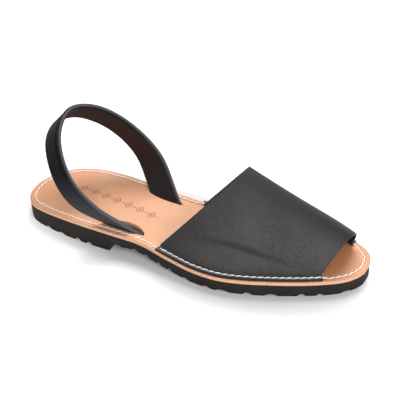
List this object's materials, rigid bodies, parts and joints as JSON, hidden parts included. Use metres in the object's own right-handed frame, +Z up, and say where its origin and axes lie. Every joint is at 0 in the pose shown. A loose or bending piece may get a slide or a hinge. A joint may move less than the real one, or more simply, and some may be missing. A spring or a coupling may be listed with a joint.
{
  "type": "avarca sandal",
  "caption": "Right-foot leather slingback sandal with an open-toe vamp stitched to the footbed, a heel strap through slots, and a lugged rubber sole.",
  "frame": {"origin": "on the floor, under a flat lug near the middle of the heel (mount heel_rest)", "axes": "+X along the foot to the toe, +Y to the inner side of a right foot, +Z up"},
  "size_m": [0.265, 0.0936, 0.0892],
  "materials": {
    "sole_rubber": "matt moulded black rubber",
    "insole_leather": "smooth natural vegetable-tanned leather",
    "upper_leather": "matt nubuck-like charcoal leather with fine grain",
    "strap_leather": "satin black leather, folded, with rolled edges",
    "thread": "thick waxed white thread"
  },
  "bodies": {
    "root": {"outsole": "sole_rubber", "insole": "insole_leather", "vamp": "upper_leather", "heel_strap": "strap_leather"}
  },
  "joints": []
}
